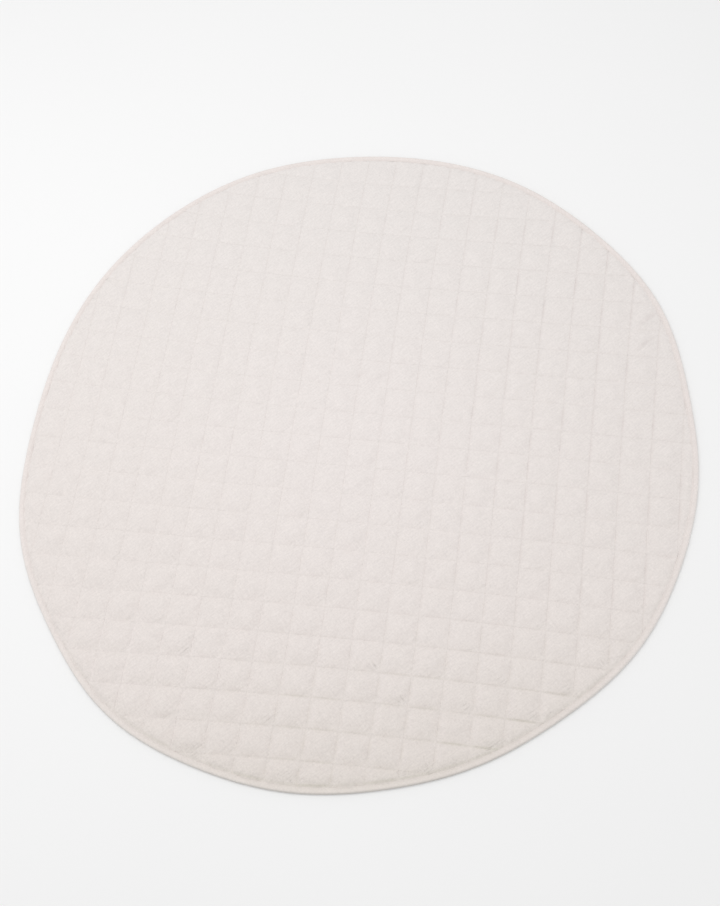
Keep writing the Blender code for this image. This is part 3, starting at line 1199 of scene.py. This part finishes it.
def thread_material():
    material, tree, surface = new_material("sewing_thread")
    where = place(tree, "ShaderNodeTexCoord").outputs["Object"]
    ply = made(tree, "ShaderNodeTexNoise", {"Vector": where, "Scale": 2500.0, "Detail": 1.0})
    tone = made(tree, "ShaderNodeMapRange", {"Value": ply, "To Min": 0.94, "To Max": 1.04})
    colour = made(tree, "ShaderNodeHueSaturation", {"Color": THREAD_COLOUR, "Value": tone})
    rough = made(tree, "ShaderNodeMapRange", {"Value": ply, "To Min": 0.55, "To Max": 0.75})
    bump = made(tree, "ShaderNodeBump", {"Height": ply, "Distance": 0.0001})
    fill(tree, surface, {"Base Color": colour, "Roughness": rough, "Normal": bump})
    return material


def floor_material():
    material, tree, surface = new_material("pale_floor")
    where = place(tree, "ShaderNodeTexCoord").outputs["Object"]
    cloud = made(tree, "ShaderNodeTexNoise", {"Vector": where, "Scale": 1.5, "Detail": 3.0})
    tone = made(tree, "ShaderNodeMapRange", {"Value": cloud, "To Min": 0.99, "To Max": 1.01})
    colour = made(tree, "ShaderNodeHueSaturation", {"Color": FLOOR_COLOUR, "Value": tone})
    fill(tree, surface, {"Base Color": colour, "Roughness": 0.8, "Specular IOR Level": 0.2})
    return material


def make_stage():
    half = FLOOR_SIDE / 2
    corners = [(-half, -half, 0.0), (half, -half, 0.0), (half, half, 0.0), (-half, half, 0.0)]
    floor = link_mesh("floor", corners, [(0, 1, 2, 3)])
    floor.data.materials.append(floor_material())

    sky = bpy.data.worlds.new("studio")
    sky.use_nodes = True
    tree = sky.node_tree
    facing = place(tree, "ShaderNodeTexCoord").outputs["Generated"]
    lean = place(tree, "ShaderNodeVectorMath", {0: facing, 1: SKY_LEAN}, operation="DOT_PRODUCT")
    glow = linear(tree, lean.outputs["Value"], SKY_STRENGTH, SKY_STRENGTH)
    plain = {"Strength": glow, "Color": (1.0, 1.0, 1.0, 1.0)}
    fill(tree, tree.nodes["Background"].inputs, plain)
    bpy.context.scene.world = sky

    lamp = bpy.data.lights.new("softbox", "AREA")
    lamp.shape = "RECTANGLE"
    lamp.size, lamp.size_y = SOFTBOX_SIZE
    lamp.energy = SOFTBOX_POWER
    softbox = bpy.data.objects.new("softbox", lamp)
    bpy.context.scene.collection.objects.link(softbox)
    softbox.location = SOFTBOX_PLACE
    softbox.visible_camera = False


def make_camera():
    lens = bpy.data.cameras.new("camera")
    lens.lens = CAMERA_LENS_MM
    lens.sensor_width = SENSOR_MM
    camera = bpy.data.objects.new("camera", lens)
    bpy.context.scene.collection.objects.link(camera)
    facing = Vector(CAMERA_TARGET) - Vector(CAMERA_PLACE)
    level = facing.to_track_quat("-Z", "Y").to_matrix()
    tilted = level @ Matrix.Rotation(math.radians(CAMERA_ROLL_DEG), 3, "Z")
    camera.matrix_world = Matrix.Translation(CAMERA_PLACE) @ tilted.to_4x4()
    bpy.context.scene.camera = camera


def make_mat():
    weave = woven_cloth_group()
    marks = pulled_marks_group()
    # The quilted cloth's warmth per metre is painted shade, more saturated towards the front.
    quilt_cloth = cloth_material(
        "quilted_cloth", weave, CLOTH_COLOUR, marks, Warmth_Per_Metre=0.35, Cloud_Scale=45.0
    )
    edge_cloth = cloth_material(
        "binding_cloth", weave, BINDING_COLOUR, Cloudiness=0.045, Cloud_Scale=40.0
    )
    thread = thread_material()

    pad = shape_by(flat_pad(), puffed_quilting_tree(), Cloth=quilt_cloth)
    strip = shape_by(binding_strip(), rippled_strip_tree(), Cloth=edge_cloth)
    sewing = sewn_line_tree()
    lines = [
        seam_path(pad, "column_stitches", "cell_u"),
        seam_path(pad, "row_stitches", "cell_v"),
        binding_path(strip, "binding_stitches"),
    ]
    pitches = (QUILTING_STITCH_PITCH, QUILTING_STITCH_PITCH, BINDING_STITCH_PITCH)
    for line, pitch in zip(lines, pitches):
        shape_by(line, sewing, Stitch_Pitch=pitch, Thread=thread)

    for piece in (pad, strip, *lines):
        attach(piece, "root")
    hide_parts("quilted_mat")
    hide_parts("edge_binding")


bpy.context.scene.view_settings.view_transform = "Standard"
make_stage()
make_camera()
make_mat()
